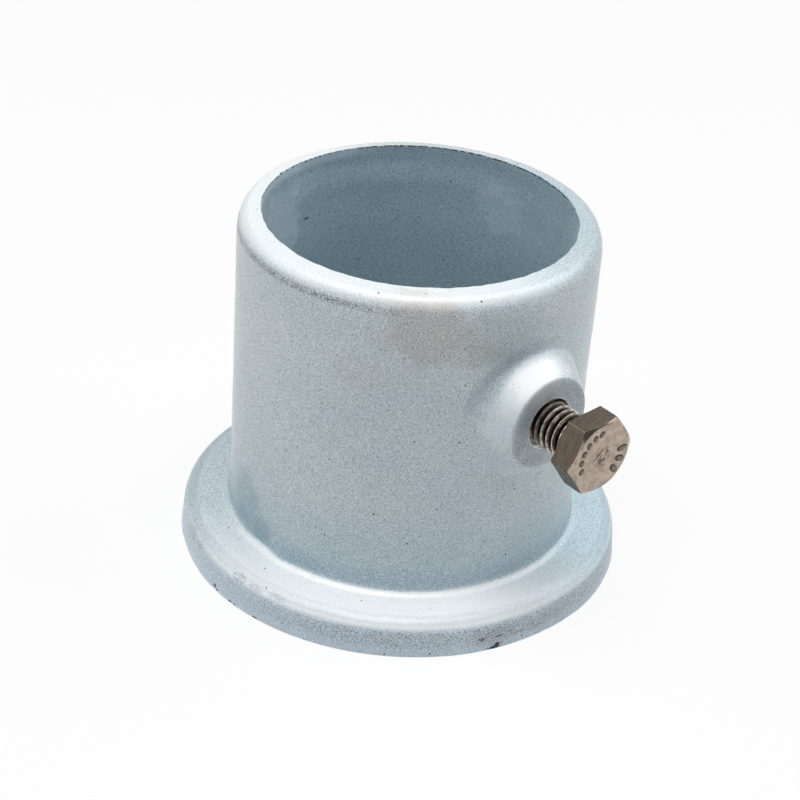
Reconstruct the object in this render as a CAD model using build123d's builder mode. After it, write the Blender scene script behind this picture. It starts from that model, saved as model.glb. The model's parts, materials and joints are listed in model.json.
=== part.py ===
from build123d import *
import os
from math import cos, radians, tan

# Tube clamp base flange: a cast sleeve on a round foot, with a hexagon set bolt in a side boss.
# Lengths are in millimetres. The origin is the centre of the bore at the underside of the foot.
# +Z runs up the bore and +X runs outwards along the set bolt.

# ---- the tube and the sleeve that takes it ----
tube_diameter = 60.3            # 2 inch nominal pipe
tube_clearance = 1.1            # radial gap between the tube and the bore
sleeve_wall = 5.0
sleeve_height = 74.0            # foot underside to rim
rim_round_width = 2.6           # the rim's outer edge is rounded down as a quarter ellipse
rim_round_height = 4.5

# ---- the foot ----
foot_margin = 10.25             # how far the foot stands out beyond the sleeve, at its underside
foot_thickness = 8.0
foot_draft = 6.0                # degrees, so that the casting leaves its mould
foot_edge_radius = 3.5
foot_root_radius = 2.0          # fillet between the sleeve and the foot

# ---- the boss that holds the bolt ----
bolt_axis_height = 46.7
boss_height = 4.75              # how far the boss face stands off the sleeve
boss_radius = 9.9
boss_root_radius = 3.6
boss_edge_radius = 0.8

# ---- the set bolt: 3/8 inch, 16 threads to the inch, 5/8 inch long ----
thread_diameter = 9.525
thread_length = 15.875          # under the head to the tip
tip_chamfer = 1.0
head_across_flats = 14.29
head_height = 5.8
head_face_diameter = 13.9       # the flat disc that the corner chamfer leaves
head_chamfer_angle = 30.0       # degrees from the face
head_turn = 4.5                 # degrees that one corner stands above the horizontal
washer_face_thickness = 0.4
washer_face_diameter = 13.5
head_gap = 8.6                  # bare thread between the boss face and the head
thread_clearance = 0.05         # radial gap between the thread's crests and its hole
hole_chamfer = 0.5

# ---- places that follow from the sizes above ----
bore_radius = tube_diameter / 2 + tube_clearance
sleeve_radius = bore_radius + sleeve_wall
foot_radius = sleeve_radius + foot_margin
foot_top_radius = foot_radius - foot_thickness * tan(radians(foot_draft))
foot_shoulder = (foot_top_radius, foot_thickness)
foot_root = (sleeve_radius, foot_thickness)
boss_face_x = sleeve_radius + boss_height
hole_radius = thread_diameter / 2 + thread_clearance
bearing_x = boss_face_x + head_gap
tip_x = bearing_x - thread_length
head_face_x = bearing_x + head_height

# A plane at the bolt's axis: its z points out along the bolt and its y points up.
bolt_plane = Plane(origin=(0, 0, bolt_axis_height), x_dir=(0, 1, 0), z_dir=(1, 0, 0))

# The section of foot and sleeve is drawn on the side away from the boss, so its seam misses the boss.
section_plane = Plane(origin=(0, 0, 0), x_dir=(-1, 0, 0), z_dir=(0, 1, 0))

os.makedirs("parts", exist_ok=True)

# ---- the casting: foot, sleeve and boss in one pour ----
with BuildPart() as flange_casting:
    # half of the section through foot and sleeve, solid up to the axis
    with BuildSketch(section_plane) as section:
        with BuildLine():
            Polyline(
                (sleeve_radius - rim_round_width, sleeve_height),
                (0, sleeve_height),
                (0, 0),
                (foot_radius, 0),
                foot_shoulder,
                foot_root,
                (sleeve_radius, sleeve_height - rim_round_height),
            )
            EllipticalCenterArc(
                (sleeve_radius - rim_round_width, sleeve_height - rim_round_height),
                rim_round_width,
                rim_round_height,
                start_angle=0,
                arc_size=90,
            )
        make_face()
        fillet(section.vertices().sort_by_distance(foot_shoulder)[0], radius=foot_edge_radius)
        fillet(section.vertices().sort_by_distance(foot_root)[0], radius=foot_root_radius)
    revolve(axis=Axis.Z)

    # the boss grows out of the sleeve along the bolt, with a broad fillet at its root
    with BuildSketch(bolt_plane):
        Circle(boss_radius)
    extrude(amount=boss_face_x)
    boss_root = flange_casting.edges().filter_by(GeomType.BSPLINE)
    fillet(boss_root, radius=boss_root_radius)
    boss_face = flange_casting.faces().filter_by(Axis.X)[0]
    fillet(boss_face.outer_wire().edges(), radius=boss_edge_radius)

    # the bore for the tube, open at both ends
    with BuildSketch(Plane.XY):
        Circle(bore_radius)
    extrude(amount=sleeve_height, mode=Mode.SUBTRACT)

    # the bolt's hole, from the boss face into the bore
    with BuildSketch(bolt_plane):
        Circle(hole_radius)
    extrude(amount=boss_face_x, mode=Mode.SUBTRACT)
    boss_face = flange_casting.faces().filter_by(Axis.X)[0]
    chamfer(boss_face.inner_wires()[0].edges(), length=hole_chamfer)

flange_casting.part.label = "flange_casting"

# ---- the set bolt: hexagon head, washer face and threaded shank in one piece ----
# The thread is a plain shank at its crest diameter.
head_corner_radius = head_across_flats / 2 / cos(radians(30))
head_chamfer_depth = (head_corner_radius - head_face_diameter / 2) * tan(radians(head_chamfer_angle))

with BuildPart() as set_bolt:
    with BuildSketch(bolt_plane.offset(bearing_x + washer_face_thickness)):
        RegularPolygon(head_across_flats / 2, 6, major_radius=False, rotation=head_turn)
    extrude(amount=head_height - washer_face_thickness)

    # the head's corners are turned off to a cone that leaves a round flat face
    with BuildSketch(Plane.XZ):
        with BuildLine():
            Polyline(
                (bearing_x, bolt_axis_height),
                (bearing_x, bolt_axis_height + head_corner_radius),
                (head_face_x - head_chamfer_depth, bolt_axis_height + head_corner_radius),
                (head_face_x, bolt_axis_height + head_face_diameter / 2),
                (head_face_x, bolt_axis_height),
                close=True,
            )
        make_face()
    bolt_axis = Axis((0, 0, bolt_axis_height), (1, 0, 0))
    revolve(axis=bolt_axis, mode=Mode.INTERSECT)

    with BuildSketch(bolt_plane.offset(bearing_x)):
        Circle(washer_face_diameter / 2)
    extrude(amount=washer_face_thickness)

    with BuildSketch(bolt_plane.offset(tip_x)):
        Circle(thread_diameter / 2)
    extrude(amount=thread_length)
    tip_edge = set_bolt.edges().filter_by(GeomType.CIRCLE).sort_by(Axis.X)[0]
    chamfer(tip_edge, length=tip_chamfer)

set_bolt.part.label = "set_bolt"

export_step(flange_casting.part, "parts/flange_casting.step")
export_step(set_bolt.part, "parts/set_bolt.step")
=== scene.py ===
# %% [markdown]
# # A tube clamp base flange, dressed around its CAD frame
# The real object has two pieces. One is an iron casting: a plain sleeve on a round foot, with a boss on its
# side, dipped in zinc until it is pale blue-grey all over. The other is a hexagon set bolt in the boss.
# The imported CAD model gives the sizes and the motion. Each piece is modelled again here with the small
# things that a CAD solid leaves out: soft waves in the cast skin, chips, a real thread, and the finishes.

# %% Tools and the frame
import json
from math import atan2, cos, pi, radians, sin, sqrt, tan

import bmesh
import bpy
from mathutils import Matrix, Vector, noise


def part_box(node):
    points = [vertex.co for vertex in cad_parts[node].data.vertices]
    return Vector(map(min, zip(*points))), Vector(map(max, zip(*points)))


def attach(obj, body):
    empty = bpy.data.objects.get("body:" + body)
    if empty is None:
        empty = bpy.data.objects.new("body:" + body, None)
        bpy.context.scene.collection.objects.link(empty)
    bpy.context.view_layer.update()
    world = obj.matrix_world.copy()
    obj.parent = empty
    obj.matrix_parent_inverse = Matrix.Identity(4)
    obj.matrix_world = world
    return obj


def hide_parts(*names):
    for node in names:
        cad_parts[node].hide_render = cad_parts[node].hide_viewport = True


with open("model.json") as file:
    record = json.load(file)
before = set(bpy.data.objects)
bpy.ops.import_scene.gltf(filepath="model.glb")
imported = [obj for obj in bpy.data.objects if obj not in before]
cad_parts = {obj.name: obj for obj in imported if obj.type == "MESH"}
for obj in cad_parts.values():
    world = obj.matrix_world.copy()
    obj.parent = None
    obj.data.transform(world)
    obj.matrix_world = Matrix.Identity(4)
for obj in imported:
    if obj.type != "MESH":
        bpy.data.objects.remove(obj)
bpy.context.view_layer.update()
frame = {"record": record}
mm = 0.001

# %% [markdown]
# ## Sizes
# What the frame knows is read from it: the bore from its mount, the foot and the sleeve's height from the
# casting's box, and the bolt's place from its own box. What a box can't say, such as a wall or a fillet, is
# a named value here, once.

# %% Sizes of the casting and of the bolt
casting_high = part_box("flange_casting")[1]
bolt_low, bolt_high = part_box("set_bolt")
bore_mount = next(m for m in frame["record"]["mounts"] if m["name"] == "tube_bore")

bore_radius = bore_mount["dims"]["r_mm"] * mm
sleeve_height = casting_high.z
foot_radius = casting_high.y
sleeve_wall = 5.0 * mm
sleeve_radius = bore_radius + sleeve_wall
rim_round_width = 2.6 * mm
rim_round_height = 4.5 * mm
foot_thickness = 8.0 * mm
foot_draft = radians(6)
foot_edge_radius = 3.5 * mm
foot_root_radius = 2.0 * mm
foot_corner_radius = 0.35 * mm

bolt_height = (bolt_low.z + bolt_high.z) / 2
boss_face = sleeve_radius + 4.75 * mm
boss_slope = radians(50)
boss_flat_radius = 9.1 * mm
boss_edge_radius = 0.9 * mm
boss_root_radius = 1.3 * mm
hole_radius = 4.8125 * mm
hole_chamfer = 0.5 * mm
print("sleeve", sleeve_radius, "foot", foot_radius, "bolt axis at", bolt_height)

# %% [markdown]
# ## Camera
# The object is seen from above and to the right of its front, with the bolt towards the right. The lens is
# long, so the sleeve tapers only a little towards the foot. The camera leans a few degrees.

# %% Camera
scene = bpy.context.scene
camera_azimuth = radians(48)
camera_elevation = radians(34.78)
camera_distance = 0.4375
camera_lean = radians(-4.24)
aim_height = 30.8 * mm
aim_side = -1.49 * mm

ground_direction = Vector((sin(camera_azimuth), -cos(camera_azimuth), 0))
camera_place = camera_distance * (
    ground_direction * cos(camera_elevation) + Vector((0, 0, sin(camera_elevation)))
)
aim = Vector((0, 0, aim_height)) + aim_side * Vector((cos(camera_azimuth), sin(camera_azimuth), 0))

camera_data = bpy.data.cameras.new("camera")
camera_data.lens = 91.1
camera_data.sensor_width = 36
camera = bpy.data.objects.new("camera", camera_data)
scene.collection.objects.link(camera)
camera.location = camera_place
look = (aim - camera_place).to_track_quat("-Z", "Y").to_matrix().to_4x4()
camera.rotation_euler = (look @ Matrix.Rotation(-camera_lean, 4, "Z")).to_euler()
scene.camera = camera
print("camera at", camera_place, "looking at", aim)

# %% [markdown]
# ## Light and floor
# A small white studio. A round softbox hangs almost straight above, a little to the front, and lights all
# that faces up: rim, boss and foot. Two weaker ones stand at half height on the left and on the right, and
# the floor throws light back on the walls. The camera, and rays that come off metal, see floor and world
# as white. All other rays get their plain colours, so the floor still takes the object's shadow.

# %% Lamps
def softbox(name, place, width, power):
    """A round area lamp that faces the middle of the object."""
    lamp = bpy.data.lights.new(name, "AREA")
    lamp.shape = "DISK"
    lamp.size = width
    lamp.energy = power
    lamp_object = bpy.data.objects.new(name, lamp)
    scene.collection.objects.link(lamp_object)
    lamp_object.location = place
    lamp_object.rotation_euler = (aim - Vector(place)).to_track_quat("-Z", "Y").to_euler()


softbox("top softbox", (0.09, -0.15, 0.99), 0.8, 7.6)
softbox("left softbox", (-0.47, -0.52, 0.71), 0.8, 2.3)
softbox("right softbox", (0.32, 0.63, 0.71), 0.7, 3.0)
print("lamps:", [lamp.name for lamp in bpy.data.lights])

# %% First node helpers
def add(tree, kind, inputs=(), **settings):
    """Adds a node. Each input is a value to set or another node's output to link."""
    made = tree.nodes.new(kind)
    for key, value in settings.items():
        setattr(made, key, value)
    for key, value in dict(inputs).items():
        if isinstance(value, bpy.types.NodeSocket):
            tree.links.new(value, made.inputs[key])
        else:
            made.inputs[key].default_value = value
    return made


def sums(tree, operation, *values):
    """The output of a Math node."""
    return add(tree, "ShaderNodeMath", enumerate(values), operation=operation).outputs[0]


def either(tree, *masks):
    """The highest of several masks."""
    highest = masks[0]
    for mask in masks[1:]:
        highest = sums(tree, "MAXIMUM", highest, mask)
    return highest


def seen_directly(tree):
    """1 for rays from the camera, off a glossy surface or through glass, and 0 for all others."""
    path = add(tree, "ShaderNodeLightPath").outputs
    return either(tree, path["Is Camera Ray"], path["Is Glossy Ray"], path["Is Transmission Ray"])


def mix_shaders(tree, share, first, second):
    """The first shader where the share is 0, and the second where it is 1."""
    sockets = {0: share, 1: first.outputs[0], 2: second.outputs[0]}
    return add(tree, "ShaderNodeMixShader", sockets).outputs[0]


print("node helpers: add, sums, either, seen_directly, mix_shaders")

# %% World
world_strength = 0.06
scene.view_settings.view_transform = "Standard"
world = bpy.data.worlds.new("studio")
scene.world = world
world.use_nodes = True
tree = world.node_tree
tree.nodes.clear()
dim = add(tree, "ShaderNodeBackground", {"Strength": world_strength})
white = add(tree, "ShaderNodeBackground", {"Color": (1, 1, 1, 1), "Strength": 1.0})
surface = mix_shaders(tree, seen_directly(tree), dim, white)
add(tree, "ShaderNodeOutputWorld", {"Surface": surface})
print("world:", len(tree.nodes), "nodes, and a light of", world_strength)

# %% Floor
floor_radius = 3.0
floor_tone = 0.86
floor_whiteness = 0.86
floor_bm = bmesh.new()
bmesh.ops.create_circle(floor_bm, cap_ends=True, segments=96, radius=floor_radius)
floor_mesh = bpy.data.meshes.new("floor")
floor_bm.to_mesh(floor_mesh)
floor_bm.free()
floor = bpy.data.objects.new("floor", floor_mesh)
scene.collection.objects.link(floor)

floor_paint = bpy.data.materials.new("floor paint")
floor_paint.use_nodes = True
tree = floor_paint.node_tree
painted = tree.nodes["Principled BSDF"]
painted.inputs["Base Color"].default_value = (floor_tone, floor_tone, floor_tone, 1)
painted.inputs["Roughness"].default_value = 0.9
white = add(tree, "ShaderNodeEmission", {"Strength": 1.0})
share = sums(tree, "MULTIPLY", seen_directly(tree), floor_whiteness)
surface = mix_shaders(tree, share, painted, white)
tree.links.new(surface, tree.nodes["Material Output"].inputs["Surface"])
floor_mesh.materials.append(floor_paint)
print("floor:", 2 * floor_radius, "m across, and", floor_whiteness, "of the way to white")

# %% [markdown]
# ## Helpers for building meshes
# Every piece starts as a bmesh: a few vertices or a circle, then operators. These helpers draw a chain of
# edges, pick rows of even height, and turn a finished bmesh into an object that rides on a CAD body.

# %% Chains, rows and finished pieces
def draw_chain(bm, points):
    """A chain of edges through the points, ready to spin."""
    verts = [bm.verts.new(point) for point in points]
    edges = [bm.edges.new(pair) for pair in zip(verts, verts[1:])]
    return verts + edges


def steps(low, high, count):
    """Evenly spaced values after low, up to and with high."""
    return [low + (high - low) * (i + 1) / count for i in range(count)]


def finish_piece(bm, name, materials, body, node, sharp_angle):
    """Closes the bmesh into a smooth-shaded object that stands for a CAD node."""
    bmesh.ops.recalc_face_normals(bm, faces=bm.faces)
    mesh = bpy.data.meshes.new(name)
    bm.to_mesh(mesh)
    bm.free()
    for face in mesh.polygons:
        face.use_smooth = True
    mesh.set_sharp_from_angle(angle=sharp_angle)
    for material in materials:
        mesh.materials.append(material)
    piece = bpy.data.objects.new(name, mesh)
    scene.collection.objects.link(piece)
    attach(piece, body)
    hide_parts(node)
    print(name, "has", sum(len(f.vertices) - 2 for f in mesh.polygons), "triangles")
    return piece

# %% [markdown]
# ## The casting: sleeve and foot
# A turned pattern and a turned core made the real sand mould, so sleeve and foot are one spun section. The
# chain runs up the bore, over the rounded rim, down the wall, through the fillet, over the foot's rounded
# shoulder and down its drafted side, and back along the underside. The rows are spaced so that a square
# window can be opened in the wall, and another in the bore, where the boss and its hole go.

# %% The windows that the boss and its hole need
columns = 320
window_columns = 46
window_half_angle = pi * window_columns / columns
wall_window = sleeve_radius * sin(window_half_angle)
bore_window = bore_radius * sin(window_half_angle)
print("window in the wall: +-", wall_window, "in the bore: +-", bore_window)

# %% The section
def arc(centre, across, up, start, end, count):
    """Points on a quarter or less of an ellipse, after its start, in the section's plane."""
    return [(centre[0] + across * cos(a), centre[1] + up * sin(a)) for a in steps(start, end, count)]


def casting_section():
    """The half section as (radius, height) points, starting and ending at the bore's lower edge."""
    rim_centre = (sleeve_radius - rim_round_width, sleeve_height - rim_round_height)
    root_centre = (sleeve_radius + foot_root_radius, foot_thickness + foot_root_radius)
    shoulder_radius = foot_radius - foot_thickness * tan(foot_draft)
    shoulder_centre = (
        shoulder_radius - foot_edge_radius * tan((pi / 2 - foot_draft) / 2),
        foot_thickness - foot_edge_radius,
    )
    corner_top = (foot_radius - foot_corner_radius * tan(foot_draft), foot_corner_radius)

    points = [(bore_radius, z) for z in steps(0, bolt_height - bore_window, 38)]
    points += [(bore_radius, z) for z in steps(points[-1][1], bolt_height + bore_window, window_columns)]
    points += [(bore_radius, z) for z in steps(points[-1][1], sleeve_height, 16)]
    points += [(r, sleeve_height) for r in steps(bore_radius, rim_centre[0], 4)]
    points += arc(rim_centre, rim_round_width, rim_round_height, pi / 2, 0, 14)
    points += [(sleeve_radius, z) for z in steps(rim_centre[1], bolt_height + wall_window, 12)]
    points += [(sleeve_radius, z) for z in steps(points[-1][1], bolt_height - wall_window, window_columns)]
    points += [(sleeve_radius, z) for z in steps(points[-1][1], root_centre[1], 32)]
    points += arc(root_centre, foot_root_radius, foot_root_radius, pi, 1.5 * pi, 8)
    points += [(r, foot_thickness) for r in steps(points[-1][0], shoulder_centre[0], 7)]
    points += arc(shoulder_centre, foot_edge_radius, foot_edge_radius, pi / 2, foot_draft, 10)
    side_radii = steps(points[-1][0], corner_top[0], 7)
    points += zip(side_radii, steps(points[-1][1], corner_top[1], 7))
    points.append((foot_radius - 0.3 * foot_corner_radius, 0.3 * foot_corner_radius))
    points.append((foot_radius - foot_corner_radius, 0))
    points += [(r, 0) for r in steps(foot_radius - foot_corner_radius, bore_radius, 12)]
    return points[-1:] + points


half_section = casting_section()
print("half section:", len(half_section), "points")

# %% Spinning the section
casting = bmesh.new()
ring_turn = casting.verts.layers.float.new("ring_turn")
section = draw_chain(casting, [(r, 0, z) for r, z in half_section])
bmesh.ops.spin(
    casting, geom=section, cent=(0, 0, 0), axis=(0, 0, 1), dvec=(0, 0, 0),
    angle=2 * pi, space=Matrix(), steps=columns, use_merge=True, use_duplicate=False,
)
bmesh.ops.remove_doubles(casting, verts=casting.verts, dist=0.001 * mm)
print("spun shell:", len(casting.faces), "faces, open edges:", sum(e.is_boundary for e in casting.edges))

# %% [markdown]
# ## The casting: boss and bolt hole
# The boss is cast with the sleeve and slopes down to the wall all round, through a small hollow. The first
# ring is laid on the wall where the slope ends. Each further ring is the one before it, extruded and moved
# on, so the rings run up the slope, over the edge, across the flat face, down the countersink and through
# the wall into the bore. The square windows are bridged to the first and the last ring, and the bridges are
# pressed back on to their cylinders.

# %% Opening a window
def open_window(bm, radius, height):
    """Deletes a square of faces round the bolt's axis from one cylinder, and returns the edges left open."""
    inside = []
    for face in bm.faces:
        centre = face.calc_center_median()
        on_wall = abs(sqrt(centre.x ** 2 + centre.y ** 2) - radius) < 0.5 * mm
        near = abs(atan2(centre.y, centre.x)) < window_half_angle and abs(centre.z - bolt_height) < height
        if on_wall and near:
            inside.append(face)
    bmesh.ops.delete(bm, geom=inside, context="FACES")
    return [edge for edge in bm.edges if edge.is_boundary]


wall_edges = open_window(casting, sleeve_radius, wall_window)
print("window in the wall:", len(wall_edges), "open edges")

# %% The boss's outline
ring_points = 4 * window_columns


def at(x, radius, turn):
    """A point at a distance along the bolt's axis, on a circle round it."""
    return Vector((x, radius * cos(turn), bolt_height + radius * sin(turn)))


def boss_profile():
    """Distance from the bolt's axis, and share of the boss's height, from the wall up to the flat face."""
    height = boss_face - sleeve_radius
    both_radii = boss_edge_radius + boss_root_radius
    slope_width = (height - both_radii * (1 - cos(boss_slope))) / tan(boss_slope)
    root_middle = boss_flat_radius + both_radii * sin(boss_slope) + slope_width
    root, slope, edge = [], [], []
    for a in [0.0] + steps(0, boss_slope, 5):
        root.append((root_middle - boss_root_radius * sin(a), boss_root_radius * (1 - cos(a))))
    for a in [boss_slope] + steps(boss_slope, 0, 5):
        rise = height - boss_edge_radius * (1 - cos(a))
        edge.append((boss_flat_radius + boss_edge_radius * sin(a), rise))
    (low_across, low_rise), (high_across, high_rise) = root[-1], edge[0]
    for share in steps(0, 1, 6)[:-1]:
        across = low_across + (high_across - low_across) * share
        slope.append((across, low_rise + (high_rise - low_rise) * share))
    return [(across, rise / height) for across, rise in root + slope + edge]


boss_outline = boss_profile()
print("the boss starts", boss_outline[0][0], "from the bolt's axis, in", len(boss_outline), "rings")

# %% Points on the boss and in its hole
def on_boss_side(turn, across, share):
    """A point that lies between the wall (share 0) and the plane of the boss's face (share 1)."""
    wall_x = sqrt(sleeve_radius ** 2 - (across * cos(turn)) ** 2)
    return at(wall_x + (boss_face - wall_x) * share, across, turn)


def in_hole(turn, share):
    """A point on the bolt hole, from the countersink (share 0) to the bore (share 1)."""
    bore_x = sqrt(bore_radius ** 2 - (hole_radius * cos(turn)) ** 2)
    return at((boss_face - hole_chamfer) * (1 - share) + bore_x * share, hole_radius, turn)


print("the hole runs from", in_hole(0, 0).x, "back to", in_hole(0, 1).x)

# %% Bridging a window to a ring
def bridge(bm, window_edges, ring, cuts, radius):
    """Joins a window to a ring with rows of faces, pressed back on to their cylinder."""
    made = bmesh.ops.bridge_loops(bm, edges=window_edges + ring)
    loops = set(window_edges + ring)
    spokes = [edge for edge in made["edges"] if edge not in loops]
    rows = bmesh.ops.subdivide_edgering(
        bm, edges=spokes, interp_mode="LINEAR", cuts=cuts, profile_shape_factor=0
    )
    for vert in {vert for face in rows["faces"] for vert in face.verts}:
        vert.co.x = sqrt(radius ** 2 - vert.co.y ** 2)


circle = bmesh.ops.create_circle(casting, cap_ends=False, segments=ring_points, radius=mm)
for number, vert in enumerate(circle["verts"]):
    vert[ring_turn] = 2 * pi * number / ring_points
    vert.co = on_boss_side(vert[ring_turn], *boss_outline[0])
ring = list({edge for vert in circle["verts"] for edge in vert.link_edges})
bridge(casting, wall_edges, ring, 5, sleeve_radius)
print("first ring:", len(ring), "edges, bridged to the wall")

# %% Growing the boss and the hole
def grow(bm, ring, place):
    """Extrudes a ring, puts each new vertex where place(turn) says, and returns the new ring."""
    made = bmesh.ops.extrude_edge_only(bm, edges=ring)["geom"]
    new = {item for item in made if isinstance(item, bmesh.types.BMVert)}
    for vert in new:
        vert.co = place(vert[ring_turn])
    return [e for e in made if isinstance(e, bmesh.types.BMEdge) and e.verts[0] in new and e.verts[1] in new]


mouth = hole_radius + hole_chamfer
for across, share in boss_outline[1:]:
    ring = grow(casting, ring, lambda turn: on_boss_side(turn, across, share))
for radius in steps(boss_flat_radius, mouth, 6):
    ring = grow(casting, ring, lambda turn: at(boss_face, radius, turn))
for depth in steps(0, hole_chamfer, 3):
    ring = grow(casting, ring, lambda turn: at(boss_face - depth, mouth - depth, turn))
for share in steps(0, 1, 6):
    ring = grow(casting, ring, lambda turn: in_hole(turn, share))

bore_edges = [e for e in open_window(casting, bore_radius, bore_window) if e not in set(ring)]
bridge(casting, bore_edges, ring, 4, bore_radius)
print("casting:", len(casting.faces), "faces, open edges:", sum(not e.is_manifold for e in casting.edges))

# %% [markdown]
# ## The casting: its cast skin
# Sand doesn't leave a true cylinder. The surface waves by a tenth of a millimetre, the foot's outline has
# a few flats and a corner, and a lump of metal with a pocket beside it sits where sleeve and foot meet. The
# core sat a little off centre at the top of the bore, so the rim is thicker on one side, and its parting
# left a ragged edge there. A sculptor would push all this in with a brush. Here each vertex is moved by
# smooth noise and by soft dents at chosen places, which gives the same skin each run. The skin goes in and
# not out, so the piece stays within its CAD size. The countersink, the hole and the flat underside are
# machined or ground, and stay true.

# %% Soft steps and dents
def soft_step(value, low, high):
    """0 below low, 1 above high, and smooth between."""
    t = min(max((value - low) / (high - low), 0), 1)
    return t * t * (3 - 2 * t)


def bump(distance, reach):
    """A round bump: 1 at the middle, 0 from reach outwards."""
    return 1 - soft_step(distance, 0, reach)


def wave(place, size):
    """Smooth noise from -1 to 1 with features of a given size."""
    return noise.noise(place / size)


print("a dent at a quarter, a half and all of its reach:", [bump(x, 1) for x in (0.25, 0.5, 1)])

# %% The foot's flats, lump and pocket
foot_flats = [  # the middle of each, half its width, and its depth
    (radians(-4), radians(17), 0.42 * mm),
    (radians(-110), radians(9), 0.30 * mm),
    (radians(62), radians(24), 0.35 * mm),
    (radians(158), radians(28), 0.40 * mm),
]
lump_place, lump_reach, lump_rise = Vector((6.2, -35.9, 9.9)) * mm, 4.6 * mm, 0.35 * mm
pocket_place, pocket_reach, pocket_depth = Vector((-0.2, -36.6, 10.2)) * mm, 5.0 * mm, 0.45 * mm


def flat_depth(turn):
    """How far the foot's outline is cut back at a turn round the sleeve."""
    depth = 0
    for middle, half, most in foot_flats:
        off = abs((turn - middle + pi) % (2 * pi) - pi) / half
        depth = max(depth, most * (1 - off * off))
    return depth


def foot_move(place, radius, turn):
    """How a vertex of the foot or of its root moves."""
    if radius < sleeve_radius - mm or place.z > foot_thickness + 4 * mm:
        return Vector()
    near_edge = soft_step(radius, foot_radius - 5 * mm, foot_radius - 2 * mm)
    outward = (place - Vector((0, 0, place.z))).normalized() + Vector((0, 0, 0.8))
    rise = lump_rise * bump((place - lump_place).length, lump_reach)
    rise -= pocket_depth * bump((place - pocket_place).length, pocket_reach)
    return outward.normalized() * rise - Vector((cos(turn), sin(turn), 0)) * flat_depth(turn) * near_edge


print("flats round the foot:", len(foot_flats), "of at most", max(row[2] for row in foot_flats))

# %% The bore's mouth
lip_turn = radians(-30)
lip_shift = 0.85 * mm
lip_depth = 9 * mm
lip_width = 2.5 * mm
edge_width = 0.8 * mm
edge_depth = 1.5 * mm


def mouth_move(place, radius, turn):
    """How a vertex at the top of the bore moves: off centre, and ragged along the edge."""
    move = Vector()
    if abs(radius - bore_radius) < edge_width and place.z > sleeve_height - 2.4 * mm:
        ragged = 0.20 * wave(place, 2.3 * mm) + 0.10 * wave(place, 0.8 * mm)
        edge = soft_step(place.z, sleeve_height - edge_depth, sleeve_height)
        edge *= 1 - soft_step(radius, bore_radius + 0.1 * mm, bore_radius + edge_width)
        move += Vector((cos(turn), sin(turn), 0)) * (ragged + 0.12) * mm * edge
    if radius < bore_radius + lip_width and place.z > sleeve_height - lip_depth:
        lip = soft_step(place.z, sleeve_height - lip_depth, sleeve_height - edge_depth)
        lip *= 1 - soft_step(radius, bore_radius, bore_radius + lip_width)
        move -= Vector((cos(lip_turn), sin(lip_turn), 0)) * lip_shift * lip
    return move


print("the bore's mouth is", lip_shift, "off centre")

# %% Waves and dents in the skin
skin_wave, skin_wave_size = 0.055 * mm, 11 * mm
skin_ripple, skin_ripple_size = 0.022 * mm, 3.1 * mm
dents = [(Vector(middle) * mm, reach * mm, depth * mm) for middle, reach, depth in (
    ((4.7, -44.7, 7.0), 1.5, 0.22),
    ((2.2, -44.6, 7.2), 1.2, 0.18),
    ((11.9, -40.1, 8.0), 1.3, 0.15),
    ((-2.5, -46.3, 0.9), 1.3, 0.30),
    ((2.8, -46.3, 0.7), 1.5, 0.35),
    ((9.5, -45.5, 0.4), 1.3, 0.30),
    ((44.7, -12.5, 0.8), 1.6, 0.35),
    ((43.6, -15.2, 3.4), 1.4, 0.20),
    ((-30.9, -4.3, 60.9), 1.6, 0.15),
)]


def is_machined(place):
    """True on the countersink, in the bolt's hole and on the underside."""
    from_bolt = sqrt(place.y ** 2 + (place.z - bolt_height) ** 2)
    by_the_hole = place.x > bore_radius - mm and from_bolt < mouth + 0.01 * mm
    return by_the_hole or place.z < 0.01 * mm


def skin_depth(place):
    """How far the skin lies under the true surface."""
    sink = skin_wave * (1 - wave(place, skin_wave_size))
    sink += skin_ripple * (1 - wave(place, skin_ripple_size))
    for dent, reach, depth in dents:
        sink += depth * bump((place - dent).length, reach) * (0.75 + 0.5 * wave(place, 0.7 * mm))
    return sink * (0.5 if place.x > boss_face - 0.01 * mm else 1)


print("dents:", len(dents), "of at most", max(row[2] for row in dents))

# %% Pushing the skin in
casting.normal_update()
bmesh.ops.recalc_face_normals(casting, faces=casting.faces)
casting.normal_update()
moves = []
for vert in casting.verts:
    place = vert.co
    if is_machined(place):
        continue
    turn, radius = atan2(place.y, place.x), place.xy.length
    move = foot_move(place, radius, turn) + mouth_move(place, radius, turn)
    moves.append((vert, place + move - skin_depth(place) * vert.normal))
for vert, place in moves:
    vert.co = place
print("skin: moved", len(moves), "of", len(casting.verts), "vertices")

# %% [markdown]
# ## The set bolt: its head
# The head is a hexagon whose corners were turned off by a 30 degree cone, and a thin round washer face
# under it. It grows ring by ring as the boss did: from a disc at the middle of its face out over the cone,
# down the flats, and back in under the washer face. The rings stand closer together beside the corners
# and the edges, so that these come out slightly rounded and catch the light.

# %% Sizes of the bolt
across_flats = 14.29 * mm
head_turn = radians(4.5)
face_radius = 6.95 * mm
face_cone = radians(30)
head_face = bolt_high.x
bearing = head_face - 5.8 * mm
washer_thickness = 0.4 * mm
washer_radius = 6.75 * mm
edge_softness = 0.12 * mm
hexagon_back = bearing + washer_thickness
mark_height = 0.16 * mm
face_plane = head_face - mark_height
thread_radius = 4.7625 * mm
thread_pitch = 1.5875 * mm
bolt_tip = bolt_low.x
tip_chamfer = 1.0 * mm
print("head from", bearing, "to", head_face, "and tip at", bolt_tip)

# %% The hexagon's outline
half_side = [pi / 6 * (i / 16) ** 1.5 for i in range(17)]
side_turns = half_side + [pi / 3 - turn for turn in half_side[-2:0:-1]]
head_turns = [head_turn + corner * pi / 3 + turn for corner in range(6) for turn in side_turns]
corner_sharpness = 100


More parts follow.
